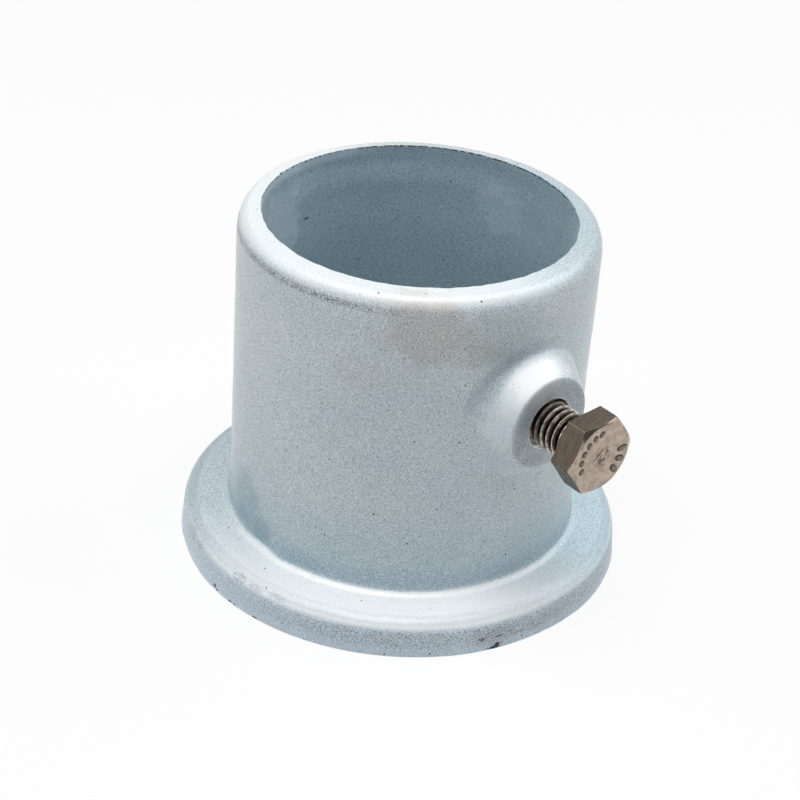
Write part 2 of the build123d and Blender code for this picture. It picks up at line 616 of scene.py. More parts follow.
def hexagon(turn):
    """The outline's radius: six flats, with corners rounded by a high power mean."""
    total = 0
    for flat in range(3):
        total += abs(cos(turn - head_turn - pi / 6 - flat * pi / 3)) ** corner_sharpness
    return across_flats / 2 / total ** (1 / corner_sharpness)


def cone_x(radius):
    """Where the cone lies at a radius."""
    return face_plane - (radius - face_radius) * tan(face_cone)


def cone_point(turn, share):
    """A point on the cone, from the face's edge (share 0) to just inside the outline (share 1)."""
    radius = face_radius + (hexagon(turn) - edge_softness - face_radius) * share
    return at(cone_x(radius), radius, turn)


def flat_point(turn, share):
    """A point on the flats, from the cone (share 0) back to the washer face (share 1)."""
    front = cone_x(hexagon(turn)) - edge_softness
    return at(front * (1 - share) + (hexagon_back + edge_softness) * share, hexagon(turn), turn)


print("hexagon across corners:", 2 * hexagon(head_turn))

# %% Growing the head
disc_radius = 1.0 * mm
corner_drop = 0.03 * mm
bolt = bmesh.new()
ring_turn = bolt.verts.layers.float.new("ring_turn")
disc = bmesh.ops.create_circle(bolt, cap_ends=True, segments=len(head_turns), radius=disc_radius)
for turn, vert in zip(head_turns, disc["verts"]):
    vert[ring_turn] = turn
    vert.co = at(face_plane, disc_radius, turn)
ring = bolt.edges[:]

for radius in steps(disc_radius, face_radius - edge_softness, 36):
    ring = grow(bolt, ring, lambda turn: at(face_plane, radius, turn))
for radius in steps(face_radius - edge_softness, face_radius + edge_softness, 2):
    ring = grow(bolt, ring, lambda turn: at(min(face_plane - 0.02 * mm, cone_x(radius)), radius, turn))
for share in steps(0, 1, 6):
    ring = grow(bolt, ring, lambda turn: cone_point(turn, share))
ring = grow(
    bolt, ring,
    lambda turn: at(cone_x(hexagon(turn)) - corner_drop, hexagon(turn) - corner_drop, turn),
)
for share in steps(0, 1, 7):
    ring = grow(bolt, ring, lambda turn: flat_point(turn, share))
ring = grow(bolt, ring, lambda turn: at(hexagon_back, hexagon(turn) - edge_softness, turn))
ring = grow(bolt, ring, lambda turn: at(hexagon_back, washer_radius, turn))
for radius in [washer_radius] + steps(washer_radius, thread_radius + 0.3 * mm, 3):
    ring = grow(bolt, ring, lambda turn: at(bearing, radius, turn))
print("head:", len(bolt.faces), "faces")

# %% [markdown]
# ## The set bolt: marks on the head
# A cold-forged head carries raised marks from its die, and the die's middle leaves a shallow rough dimple.
# The marks here are plain pips and short bars that mean nothing. They could be cut out of the face as
# outlines, but the face's vertices stand close enough together to be lifted into them, which rounds them
# off as the die does.

# %% Raising the marks and the dimple
pip_ring = 5.25 * mm
pip_top, pip_foot = 0.26 * mm, 0.74 * mm
dimple_depth, dimple_reach = 0.10 * mm, 2.0 * mm
pip_turns = [radians(t) for t in (97, 115, 135, 155, 176, 197)]
bar_turns = [radians(t) for t in (3, -21, -46)]
for vert in bolt.verts:
    if vert.co.x < face_plane - 0.001 * mm:
        continue
    arm = Vector((vert.co.y, vert.co.z - bolt_height))
    turn = atan2(arm.y, arm.x)
    lift = 0
    for mark in pip_turns + bar_turns:
        off = (turn - mark + pi) % (2 * pi) - pi
        along, across = arm.length - pip_ring, arm.length * off
        if mark in bar_turns:
            along *= 0.5
        lift = max(lift, 1 - soft_step(sqrt(along ** 2 + across ** 2), pip_top, pip_foot))
    dimple = bump(arm.length, dimple_reach) * (0.6 + 0.6 * wave(vert.co, 0.6 * mm))
    vert.co.x += mark_height * lift - dimple_depth * dimple
print("marks raised on the head:", len(pip_turns) + len(bar_turns))

# %% [markdown]
# ## The set bolt: its thread
# The thread runs along the whole shank. One tooth of the real profile, crest, flank, root and flank, is
# spun round the axis and moved along by one pitch a turn, so the end of each turn meets the start of the
# next. Two planes then cut it to length. Near the tip the crests are turned down to the chamfer, and under
# the head the last root runs out into the plain shank.

# %% Spinning the thread
steps_per_turn = 72
thread_depth = 0.6134 * thread_pitch
crest_drop, root_lift = 0.03 * mm, 0.02 * mm
root_radius = thread_radius - thread_depth
flank = (thread_radius - root_radius) * tan(radians(30))
crest = thread_pitch / 8
turns = int((bearing - bolt_tip) / thread_pitch) + 3
tooth = [
    (0, thread_radius - crest_drop),
    (0.12 * crest, thread_radius),
    (0.88 * crest, thread_radius),
    (crest, thread_radius - crest_drop),
    (crest + 0.5 * flank, (thread_radius + root_radius) / 2),
    (crest + flank, root_radius + root_lift),
    (thread_pitch / 2 + crest / 2, root_radius),
    (thread_pitch - flank, root_radius + root_lift),
    (thread_pitch - 0.5 * flank, (thread_radius + root_radius) / 2),
    (thread_pitch, thread_radius - crest_drop),
]
thread = bmesh.new()
start = bolt_tip - 1.5 * thread_pitch
chain = draw_chain(thread, [(start + x, r, bolt_height) for x, r in tooth])
bmesh.ops.spin(
    thread, geom=chain, cent=(0, 0, bolt_height), axis=(1, 0, 0),
    dvec=(thread_pitch / steps_per_turn, 0, 0), angle=2 * pi * turns, space=Matrix(),
    steps=steps_per_turn * turns, use_merge=False, use_duplicate=False,
)
bmesh.ops.remove_doubles(thread, verts=thread.verts, dist=0.004 * mm)
print("thread:", len(thread.faces), "faces over", turns, "turns")

# %% Run-out, tip and cuts
run_out_start, run_out_length = 1.6 * mm, 1.2 * mm
for vert in thread.verts:
    arm = Vector((vert.co.y, vert.co.z - bolt_height))
    radius = arm.length
    under_head = min(max((vert.co.x - bearing + run_out_start) / run_out_length, 0), 1)
    radius += (thread_radius - radius) * under_head
    radius = min(radius, thread_radius - tip_chamfer + max(vert.co.x - bolt_tip, 0))
    arm = arm.normalized() * radius
    vert.co.y, vert.co.z = arm.x, arm.y + bolt_height

for place, outwards in ((bolt_tip, -1), (bearing, 1)):
    bmesh.ops.bisect_plane(
        thread, geom=thread.verts[:] + thread.edges[:] + thread.faces[:], dist=0.0005 * mm,
        plane_co=(place, 0, 0), plane_no=(outwards, 0, 0), clear_outer=True, clear_inner=False,
    )
tip_edges = [e for e in thread.edges if e.is_boundary and e.verts[0].co.x < bolt_tip + 0.01 * mm]
bmesh.ops.edgeloop_fill(thread, edges=tip_edges)
print("thread cut to length:", len(thread.faces), "faces")

# %% Joining head and thread
thread_mesh = bpy.data.meshes.new("thread")
thread.to_mesh(thread_mesh)
thread.free()
bolt.from_mesh(thread_mesh)
bpy.data.meshes.remove(thread_mesh)
collar = [e for e in bolt.edges if e.is_boundary]
bmesh.ops.bridge_loops(bolt, edges=collar)
print("bolt:", len(bolt.faces), "faces, open edges:", sum(not e.is_manifold for e in bolt.edges))

# %% [markdown]
# ## Node helpers and shared effects
# Every finish is made of nodes that read Object coordinates, in metres, so each speck stays where it is on
# the metal. Painted image maps could hold the same marks, but they need the mesh unwrapped, and they blur
# close up. Effects that are used more than once are shader node groups: the place of a point round an axis,
# a soft band, a ragged blot round a point, a fine grain, and sparse specks.

# %% Node helpers
def vectors(tree, operation, *values):
    """The outputs of a Vector Math node."""
    return add(tree, "ShaderNodeVectorMath", enumerate(values), operation=operation).outputs


def times(tree, *masks):
    """The product of several masks."""
    product = masks[0]
    for mask in masks[1:]:
        product = sums(tree, "MULTIPLY", product, mask)
    return product


def rest_of(tree, mask):
    """1 where the mask is 0, and 0 where it is 1."""
    return sums(tree, "SUBTRACT", 1.0, mask)


print("more node helpers: vectors, times, rest_of")

# %% Colour helpers
def lay(tree, mask, below, above, blend="MIX"):
    """Lays one colour over another where the mask is 1."""
    made = add(tree, "ShaderNodeMix", {0: mask}, data_type="RGBA", blend_type=blend)
    for socket, value in ((made.inputs[6], below), (made.inputs[7], above)):
        if isinstance(value, bpy.types.NodeSocket):
            tree.links.new(value, socket)
        else:
            socket.default_value = (*value, 1)
    return made.outputs[2]


def tint(tree, mask, colour, factors):
    """Multiplies a colour by its own factors for red, green and blue where the mask is 1."""
    return lay(tree, mask, colour, factors, "MULTIPLY")


print("colour helpers: lay, tint")

# %% Mask helpers
def remap(tree, value, low, high, to_low=0.0, to_high=1.0):
    """A smooth step of a value from one range to another. With low above high, it falls as it rises."""
    ends = {"Value": value, "From Min": low, "From Max": high, "To Min": to_low, "To Max": to_high}
    return add(tree, "ShaderNodeMapRange", ends, interpolation_type="SMOOTHSTEP").outputs["Result"]


def towards(tree, turn, degrees, low, high):
    """A mask that grows towards one side, as the cosine of the angle to it goes from low to high."""
    return remap(tree, sums(tree, "COSINE", sums(tree, "SUBTRACT", turn, radians(degrees))), low, high)


def texture(tree, point, size, detail):
    """A noise texture whose features are about one size, in metres."""
    return add(tree, "ShaderNodeTexNoise", {"Vector": point, "Scale": 1 / size, "Detail": detail}).outputs[0]


print("mask helpers: remap, towards, texture")

# %% Group helpers
def new_group(name, inputs, outputs):
    """An empty node group with its sockets, and its input and output nodes' sockets."""
    group = bpy.data.node_groups.new(name, "ShaderNodeTree")
    for label, default in inputs.items():
        kind = "NodeSocketFloat" if isinstance(default, float) else "NodeSocketVector"
        group.interface.new_socket(label, in_out="INPUT", socket_type=kind).default_value = default
    for label in outputs:
        group.interface.new_socket(label, in_out="OUTPUT", socket_type="NodeSocketFloat")
    return group, group.nodes.new("NodeGroupInput").outputs, group.nodes.new("NodeGroupOutput").inputs


def place_group(tree, group, **inputs):
    """Places a group in a material with its own values, and gives its outputs."""
    return add(tree, "ShaderNodeGroup", inputs, node_tree=group).outputs


print("group helpers: new_group, place_group")

# %% Group: place round an axis
place_round_axis, given, result = new_group(
    "place round axis", {"Point": (0, 0, 0)}, ["Radius", "Along", "Turn"]
)
tree = place_round_axis
axes = add(tree, "ShaderNodeSeparateXYZ", {"Vector": given["Point"]}).outputs
across = add(tree, "ShaderNodeCombineXYZ", {"X": axes["X"], "Y": axes["Y"]}).outputs[0]
tree.links.new(vectors(tree, "LENGTH", across)["Value"], result["Radius"])
tree.links.new(axes["Z"], result["Along"])
tree.links.new(sums(tree, "ARCTAN2", axes["Y"], axes["X"]), result["Turn"])
print(tree.name, "gives", [item.name for item in tree.interface.items_tree if item.in_out == "OUTPUT"])

# %% Group: soft band
soft_band, given, result = new_group(
    "soft band", {"Value": 0.0, "Low": 0.0, "High": 1.0, "Softness": 0.1}, ["Mask"]
)
tree = soft_band
rise = remap(tree, given["Value"], sums(tree, "SUBTRACT", given["Low"], given["Softness"]), given["Low"])
fall = remap(tree, given["Value"], given["High"], sums(tree, "ADD", given["High"], given["Softness"]))
tree.links.new(times(tree, rise, rest_of(tree, fall)), result["Mask"])
print(tree.name, "has", len(tree.nodes), "nodes")

# %% Group: ragged blot
ragged_blot, given, result = new_group(
    "ragged blot",
    {"Point": (0, 0, 0), "Middle": (0, 0, 0), "Reach": (1, 1, 1), "Raggedness": 0.5, "Grain": 0.002},
    ["Mask"],
)
tree = ragged_blot
away = vectors(tree, "SUBTRACT", given["Point"], given["Middle"])[0]
distance = vectors(tree, "LENGTH", vectors(tree, "DIVIDE", away, given["Reach"])[0])["Value"]
blot_noise = add(tree, "ShaderNodeTexNoise", {
    "Vector": given["Point"], "Scale": sums(tree, "DIVIDE", 1.0, given["Grain"]), "Detail": 3.0,
}).outputs[0]
rag = times(tree, sums(tree, "SUBTRACT", blot_noise, 0.5), given["Raggedness"])
edge = sums(tree, "ADD", distance, rag)
blot_core, blot_edge = 0.45, 1.0
tree.links.new(rest_of(tree, remap(tree, edge, blot_core, blot_edge)), result["Mask"])
print(tree.name, "has", len(tree.nodes), "nodes")

# %% Group: fine grain
fine_grain, given, result = new_group(
    "fine grain", {"Point": (0, 0, 0), "Size": 0.0003, "Contrast": 1.0}, ["Grain"]
)
tree = fine_grain
grain_noise = add(tree, "ShaderNodeTexNoise", {
    "Vector": given["Point"], "Scale": sums(tree, "DIVIDE", 1.0, given["Size"]), "Detail": 1.5,
    "Roughness": 0.7,
}).outputs[0]
off_middle = times(tree, sums(tree, "SUBTRACT", grain_noise, 0.5), given["Contrast"])
tree.links.new(sums(tree, "ADD", off_middle, 0.5), result["Grain"])
print(tree.name, "has", len(tree.nodes), "nodes")

# %% Group: sparse specks
sparse_specks, given, result = new_group(
    "sparse specks", {"Point": (0, 0, 0), "Spacing": 0.004, "Size": 0.0002, "Share": 0.5}, ["Mask"]
)
tree = sparse_specks
cells = add(tree, "ShaderNodeTexVoronoi", {
    "Vector": given["Point"], "Scale": sums(tree, "DIVIDE", 1.0, given["Spacing"]),
}).outputs
speck_reach = sums(tree, "DIVIDE", given["Size"], given["Spacing"])
chance = add(tree, "ShaderNodeSeparateColor", {"Color": cells["Color"]}).outputs
smallest_share = 0.4
own_reach = times(tree, speck_reach, sums(tree, "ADD", chance[1], smallest_share))
nearness = sums(tree, "DIVIDE", cells["Distance"], own_reach)
inside = rest_of(tree, remap(tree, nearness, 0.6, 1.2))
chosen = sums(tree, "LESS_THAN", chance[0], given["Share"])
tree.links.new(times(tree, inside, chosen), result["Mask"])
print("node groups:", [group.name for group in bpy.data.node_groups])

# %% [markdown]
# ## Finish: zinc coat
# Hot zinc froze over the casting as a satin skin: pale blue-grey, finely speckled, with a faint sheen where
# it turns away. The rim, the top of the boss and the foot's front are laid whiter, as painted highlights,
# and the wall low down is laid darker, as painted shade. Each patch could be a material of its own on its
# own faces, but real patches have soft, ragged edges, so one material holds them all, as masks that lay one
# colour over another. This step lays the ground colour, from large clouds down to the speckle.

# %% Zinc coat: places on the casting
zinc = bpy.data.materials.new("zinc coat")
zinc.use_nodes = True
tree = zinc.node_tree
zinc_shader = tree.nodes["Principled BSDF"]
point = add(tree, "ShaderNodeTexCoord").outputs["Object"]
round_sleeve = place_group(tree, place_round_axis, Point=point)
radius, height, turn = round_sleeve["Radius"], round_sleeve["Along"], round_sleeve["Turn"]


def places_round_bolt(tree, point):
    """The places round the bolt's axis, which a Mapping node turns upright."""
    upright = add(tree, "ShaderNodeMapping", {
        "Vector": point, "Location": (bolt_height, 0, 0), "Rotation": (0, -pi / 2, 0),
    }).outputs[0]
    return place_group(tree, place_round_axis, Point=upright)


round_bolt = places_round_bolt(tree, point)
print("zinc coat:", len(tree.nodes), "nodes give the places")

# %% Zinc coat: painted highlights
def blots(tree, point, raggedness, grain, rows):
    """One mask for several ragged blots, each with its middle and reach in millimetres and a strength."""
    masks = []
    for middle, reach, strength in rows:
        blot = place_group(
            tree, ragged_blot, Point=point, Middle=Vector(middle) * mm, Reach=Vector(reach) * mm,
            Raggedness=raggedness, Grain=grain)["Mask"]
        masks.append(times(tree, blot, strength))
    return either(tree, *masks)


# Painted highlights: the front of the rim, the front of the foot's top and the top of the boss are laid
# whiter.
rim_highlight = times(tree,
    remap(tree, height, sleeve_height - 2.5 * mm, sleeve_height - 1.0 * mm),
    sums(tree, "GREATER_THAN", radius, bore_radius - 1.1 * mm),
    towards(tree, turn, -95, -0.6, 0.1), 0.8)
foot_front_highlight = times(tree,
    remap(tree, height, 3.6 * mm, 6.6 * mm),
    remap(tree, height, foot_thickness + 1.2 * mm, foot_thickness + 0.4 * mm),
    sums(tree, "ADD", 0.05, towards(tree, turn, -45, 0.15, 0.95)))
boss_top_highlight = blots(tree, point, 0.5, 4 * mm, [((39.0, -4.0, 56.0), (3.6, 12, 8.5), 1.0)])
painted_highlight = either(tree, rim_highlight, foot_front_highlight, boss_top_highlight)
print("zinc coat:", len(tree.nodes), "nodes, with where it gathers")

# %% Zinc coat: clouds, and painted shade low on the wall
clouds = texture(tree, point, 14 * mm, 3.0)
mottle = texture(tree, point, 2.6 * mm, 4.0)
colour = lay(tree, remap(tree, clouds, 0.35, 0.65), (0.515, 0.600, 0.645), (0.560, 0.635, 0.660))
colour = lay(tree, remap(tree, mottle, 0.3, 0.7, 0.0, 0.35), colour, (0.60, 0.675, 0.705))
above_foot = foot_thickness + 0.7 * mm
# Painted shade: the wall is laid darker and bluer towards the foot.
painted_low_wall_shade = times(tree,
    remap(tree, height, 34 * mm, 10 * mm, 0.0, 0.7),
    sums(tree, "GREATER_THAN", height, above_foot))
colour = tint(tree, painted_low_wall_shade, colour, (0.72, 0.84, 0.91))
# Painted shade: darker again just above the fillet, where the sleeve meets the foot.
painted_root_shade = times(tree,
    remap(tree, height, 15 * mm, 10 * mm, 0.0, 0.8),
    remap(tree, height, foot_thickness + 0.5 * mm, foot_thickness + 1.3 * mm))
colour = tint(tree, painted_root_shade, colour, (0.78, 0.85, 0.90))
print("zinc coat:", len(tree.nodes), "nodes, with its clouds")

# %% Zinc coat: the foot's top, its shoulder and the rim, with painted light and shade
foot_top = times(tree,
    remap(tree, height, 4.5 * mm, 6.5 * mm),
    sums(tree, "LESS_THAN", height, above_foot))
# Painted light: the right of the foot's top is laid lighter and bluer.
colour = lay(tree, times(tree, foot_top, towards(tree, turn, 35, 0.3, 0.9), 0.8), colour, (0.70, 0.86, 0.95))
colour = tint(tree, times(tree, foot_top, 0.8), colour, (0.92, 0.985, 1.0))
# The painted highlights are laid here, near-white over the coat.
colour = lay(tree, painted_highlight, colour, (0.86, 0.90, 0.92))
# Painted highlight: the flat of the foot's top is laid near-white at the front.
foot_flat_highlight = times(tree, foot_top, remap(tree, height, 7.6 * mm, 7.85 * mm), 0.9)
colour = lay(tree, times(tree, foot_flat_highlight, towards(tree, turn, -48, 0.80, 0.98)), colour, (0.97, 0.985, 0.99))
# Painted shade: the foot's rounded shoulder is laid darker all round.
shoulder = place_group(
    tree, soft_band, Value=height, Low=7.0 * mm, High=foot_thickness, Softness=0.5 * mm)["Mask"]
shoulder = times(tree, shoulder, remap(tree, radius, foot_radius - 3.9 * mm, foot_radius - 2.9 * mm))
colour = tint(tree, shoulder, colour, (0.76, 0.785, 0.81))
# Painted shade: the top of the rim is laid darker on the right.
rim_right_shade = times(tree, towards(tree, turn, 40, 0.3, 0.9), remap(tree, height, 71 * mm, 73 * mm))
colour = tint(tree, rim_right_shade, colour, (0.85, 0.91, 0.94))
print("zinc coat:", len(tree.nodes), "nodes, with the foot's top")

# %% Zinc coat: speckle
grain = place_group(tree, fine_grain, Point=point, Size=0.27 * mm, Contrast=2.6)["Grain"]
# The dark speckle is fainter under the painted highlights.
dark_grain = times(tree, remap(tree, grain, 0.0, 0.55, 0.85, 0.0), remap(tree, painted_highlight, 0.0, 1.0, 1.0, 0.3))
colour = lay(tree, dark_grain, colour, (0.27, 0.32, 0.35))
colour = lay(tree, remap(tree, grain, 0.5, 0.95, 0.0, 0.6), colour, (0.80, 0.85, 0.87))
print("zinc coat:", len(tree.nodes), "nodes, with its speckle")

# %% [markdown]
# ## Zinc coat: bore, rim, foot and boss
# The coat is bluer and duller inside the bore, and it is laid darker deeper down and under the back of the
# rim, as painted shade. Below the rim a dark, grainy line is laid, strongest on one side and fading round
# the rim, and the bore's edge keeps a thin black burr. The foot's side is grainy like the sand it was cast
# in, and its dark grain is laid fainter near the floor, as painted bounce light, and fainter on the left.
# The boss's face is a little darker, part of its slope is laid near-white as a painted highlight, and part
# of the hollow beside it is laid darker as painted shade. The countersink was cut after dipping, and is
# bare, with a ring of pale flecks. All of these lie at a height or a radius, so their masks come from the
# place round an axis, and noise breaks up the line, the burr, the foot's side and the flecks.

# %% Zinc coat: inside the bore
in_bore = times(tree,
    sums(tree, "LESS_THAN", radius, bore_radius + 1.5 * mm),
    sums(tree, "LESS_THAN", height, sleeve_height - 0.35 * mm))
colour = tint(tree, times(tree, in_bore, 0.95), colour, (0.80, 0.92, 0.97))
# Painted shade: the bore is laid darker deeper down.
painted_bore_depth_shade = remap(tree, height, 66 * mm, 40 * mm)
colour = tint(tree, times(tree, in_bore, painted_bore_depth_shade, 0.9), colour, (0.72, 0.74, 0.76))
# Painted shade: the back of the bore is laid darker just under the rim.
painted_bore_back_shade = times(tree, in_bore, remap(tree, height, 60 * mm, 69 * mm), towards(tree, turn, 138, 0.45, 0.9))
colour = tint(tree, painted_bore_back_shade, colour, (0.83, 0.84, 0.87))
print("zinc coat:", len(tree.nodes), "nodes, with the bore")

# %% Zinc coat: the line below the rim
rim_line = place_group(
    tree, soft_band, Value=height, Low=sleeve_height - 3.3 * mm, High=sleeve_height - 2.7 * mm,
    Softness=0.7 * mm)["Mask"]
# An even ramp, not a smooth step, so that the line fades slowly round the rim.
rim_front = add(tree, "ShaderNodeMapRange", {
    "Value": sums(tree, "COSINE", sums(tree, "SUBTRACT", turn, radians(-92))),
    "From Min": 0.62, "From Max": 0.9, "To Min": 0.10, "To Max": 0.9,
}).outputs["Result"]
rim_grain = place_group(tree, fine_grain, Point=point, Size=0.32 * mm, Contrast=3.0)["Grain"]
rim_dark = times(tree, rim_line, rim_front, remap(tree, rim_grain, 0.2, 0.9))
colour = lay(tree, rim_dark, colour, (0.13, 0.155, 0.185))
print("zinc coat:", len(tree.nodes), "nodes, with the rim's line")

# %% Zinc coat: the burr
lip_centre = (lip_shift * cos(lip_turn), lip_shift * sin(lip_turn), 0)
round_lip = place_group(tree, place_round_axis, Point=vectors(tree, "ADD", point, lip_centre)[0])
burr_line = place_group(
    tree, soft_band, Value=round_lip["Radius"], Low=bore_radius - 0.4 * mm, High=bore_radius + 0.22 * mm,
    Softness=0.06 * mm)["Mask"]
burr_top = remap(tree, height, sleeve_height - 0.42 * mm, sleeve_height - 0.26 * mm)
burr_back = towards(tree, turn, 146, -0.25, 0.35)
burr_breaks = remap(tree, texture(tree, point, 0.8 * mm, 4.0), 0.38, 0.54)
burr = times(tree, burr_line, burr_top, burr_back, burr_breaks)
colour = lay(tree, times(tree, burr, 0.9), colour, (0.045, 0.05, 0.055))
print("zinc coat:", len(tree.nodes), "nodes, with the burr")

# %% Zinc coat: the foot's side
foot_side = times(tree,
    remap(tree, radius, foot_radius - 1.6 * mm, foot_radius - 0.8 * mm),
    rest_of(tree, remap(tree, height, 5.2 * mm, 6.6 * mm)))
side_grain = place_group(tree, fine_grain, Point=point, Size=0.22 * mm, Contrast=3.3)["Grain"]
colour = lay(tree, times(tree, foot_side, 0.8), colour, (0.64, 0.77, 0.87))
# The foot's side keeps dark sand grain, darker away from the left; near the floor the grain is laid fainter,
# as painted bounce light.
off_left = rest_of(tree, towards(tree, turn, -130, 0.2, 0.9))
side_grain_and_painted_bounce = sums(tree, "ADD", 0.44, times(tree, off_left, 0.34))
side_grain_and_painted_bounce = times(tree, foot_side, side_grain_and_painted_bounce, remap(tree, side_grain, 0.26, 0.70),
    remap(tree, height, 0.6 * mm, 3.2 * mm, 0.58, 1.0))
colour = lay(tree, side_grain_and_painted_bounce, colour, (0.155, 0.17, 0.21))
print("zinc coat:", len(tree.nodes), "nodes, with the foot's side")

# %% Zinc coat: the boss
by_boss_face = sums(tree, "GREATER_THAN", round_bolt["Along"], boss_face - 0.35 * mm)
on_boss = times(tree, rest_of(tree, remap(tree, round_bolt["Radius"], 9.2 * mm, 9.8 * mm)), by_boss_face)
colour = tint(tree, times(tree, on_boss, 0.85), colour, (0.74, 0.755, 0.785))
# Painted highlight: part of the boss's slope is laid near-white.
slope_highlight = blots(tree, point, 0.6, 3 * mm, [((38.8, -4.5, 56.5), (3.2, 9, 6), 0.85)])
colour = lay(tree, times(tree, slope_highlight, rest_of(tree, on_boss)), colour, (0.95, 0.965, 0.98))
# Painted shade: part of the hollow round the foot of the boss is laid darker.
crease = place_group(
    tree, soft_band, Value=round_bolt["Radius"], Low=13.4 * mm, High=15.2 * mm, Softness=1.5 * mm)["Mask"]
crease = times(tree, crease, towards(tree, round_bolt["Turn"], 213, 0.5, 0.95),
    sums(tree, "GREATER_THAN", round_bolt["Along"], bore_radius + 1.5 * mm), 0.8)
colour = tint(tree, crease, colour, (0.74, 0.78, 0.81))
print("zinc coat:", len(tree.nodes), "nodes, with the boss")

# %% Zinc coat: the bare countersink
mouth_flecks = remap(tree, texture(tree, point, 0.35 * mm, 3.0), 0.46, 0.56)
mouth_ring = times(tree,
    mouth_flecks, remap(tree, round_bolt["Radius"], mouth + 0.4 * mm, mouth), by_boss_face)
colour = lay(tree, mouth_ring, colour, (0.95, 0.95, 0.93))
bare = times(tree,
    sums(tree, "LESS_THAN", round_bolt["Radius"], mouth - 0.02 * mm),
    sums(tree, "GREATER_THAN", round_bolt["Along"], bore_radius + 0.3 * mm))
colour = lay(tree, bare, colour, (0.70, 0.68, 0.66))
print("zinc coat:", len(tree.nodes), "nodes, with the bare countersink")

# %% [markdown]
# ## Zinc coat: stain, chips and wear
# There is a beige stain high on the front. The foot's edge is chipped down to dark iron, with rust haze
# round the chips, and its shoulder is worn. Some places are laid darker, as painted shade, and some paler,
# as painted light. Gas that came out of the iron left dark pinholes all over. A stain or a chip happens at
# one place, so each is a ragged blot with a middle, a reach and a strength. Pinholes happen anywhere, so
# they are sparse specks, and a few more specks chip the foot's lower edge.

# %% Zinc coat: the beige stain
beige = blots(tree, point, 1.1, 5 * mm, [
    ((28.6, -22.2, 67.5), (12, 12, 9.5), 0.75),
    ((33.5, -14.0, 62.0), (5, 8, 3.5), 0.5),
    ((20.0, -30.5, 57.0), (9, 9, 5.0), 0.2),
])
colour = tint(tree, beige, colour, (0.87, 0.765, 0.71))
print("zinc coat:", len(tree.nodes), "nodes, with the stain")

# %% Zinc coat: chips down to the iron
iron_chips = blots(tree, point, 1.5, 0.5 * mm, [
    ((-2.8, -46.1, 1.0), (0.55, 0.9, 0.5), 1.0),
    ((-1.7, -46.2, 0.5), (0.6, 0.9, 0.25), 1.0),
    ((2.5, -46.1, 0.2), (0.8, 1.0, 0.4), 1.0),
    ((9.8, -45.2, 0.2), (1.0, 1.2, 0.4), 1.0),
    ((44.6, -12.2, 0.3), (1.0, 2.4, 0.5), 1.0),
    ((44.9, -11.4, 0.8), (1.0, 0.9, 0.6), 1.0),
    ((43.7, -14.8, 2.8), (0.9, 1.4, 0.35), 0.75),
    ((44.6, -10.9, 2.7), (0.9, 1.3, 0.28), 0.65),
    ((45.4, -6.3, 2.2), (0.9, 1.7, 0.22), 0.5),
    ((45.9, -1.4, 2.2), (0.9, 1.8, 0.2), 0.35),
    ((-29.2, -12.3, 74.0), (0.8, 0.7, 0.4), 1.0),
    ((-31.2, -4.3, 60.9), (0.6, 0.9, 0.4), 0.9),
    ((-31.2, -6.0, 64.0), (0.5, 0.35, 0.4), 0.9),
])
edge_specks = times(tree,
    place_group(tree, sparse_specks, Point=point, Spacing=1.7 * mm, Size=0.30 * mm, Share=0.45)["Mask"],
    remap(tree, height, 1.5 * mm, 0.9 * mm), remap(tree, height, 0.0, 0.1 * mm),
    towards(tree, turn, -75, 0.2, 0.6))
iron_chips = either(tree, iron_chips, edge_specks)
colour = lay(tree, iron_chips, colour, (0.045, 0.04, 0.045))
print("zinc coat:", len(tree.nodes), "nodes, with the chips")

# %% Zinc coat: rust haze and painted shade
rust_haze = blots(tree, point, 1.4, 1.5 * mm, [
    ((44.6, -12.0, 3.0), (3, 8, 2.8), 0.45),
    ((46.0, 0.0, 2.4), (3, 9, 1.8), 0.25),
    ((41.0, -5.0, 39.2), (1.2, 5, 2.6), 0.4),
    ((41.0, -7.6, 43.5), (1.0, 1.8, 4.0), 0.35),
])
colour = tint(tree, rust_haze, colour, (0.70, 0.60, 0.57))
# Painted shade: broad darker patches over the front of the wall, beside the boss, and low on the wall by the
# pocket.
painted_shade_places = blots(tree, point, 0.8, 2.5 * mm, [
    ((27.0, -24.0, 40.0), (26, 26, 36), 0.28),
    ((34.5, -8.0, 64.5), (6, 13, 9), 0.5),
    ((-7.5, -35.6, 15.5), (8.5, 4.0, 9.0), 0.8),
    ((-1.5, -36.4, 12.0), (4.5, 3.0, 4.0), 0.9),
    ((9.5, -33.5, 10.5), (9, 6, 3.0), 0.35),
])
colour = tint(tree, painted_shade_places, colour, (0.74, 0.80, 0.83))
print("zinc coat:", len(tree.nodes), "nodes, with haze and dull places")

# %% Zinc coat: the worn shoulder and painted light
worn_shoulder = blots(tree, point, 1.0, 1.2 * mm, [
    ((-15.8, -42.8, 5.0), (3.2, 2.4, 2.4), 0.55),
    ((-10.5, -44.3, 5.4), (3.0, 2.0, 1.7), 0.45),
    ((4.0, -44.9, 6.4), (2.4, 1.6, 1.5), 0.75),
    ((8.5, -44.4, 6.6), (2.4, 1.3, 0.9), 0.6),
    ((14.0, -42.9, 6.8), (2.8, 1.3, 0.8), 0.5),
])
worn_shoulder = times(tree, worn_shoulder, remap(tree, side_grain, 0.25, 0.80))
colour = lay(tree, worn_shoulder, colour, (0.20, 0.25, 0.29))
# Painted light: paler patches in the bore and below the boss's left.
painted_light_places = blots(tree, point, 1.4, 3 * mm, [
    ((-8.7, 30.0, 63.0), (9, 5, 7), 0.35),
    ((-28.5, -13.0, 62.0), (7, 9, 11), 0.6),
    ((38.6, -10.5, 50.0), (4.5, 5, 8.5), 0.42),
])
colour = lay(tree, painted_light_places, colour, (0.66, 0.75, 0.81))
print("zinc coat:", len(tree.nodes), "nodes, with wear and pale places")

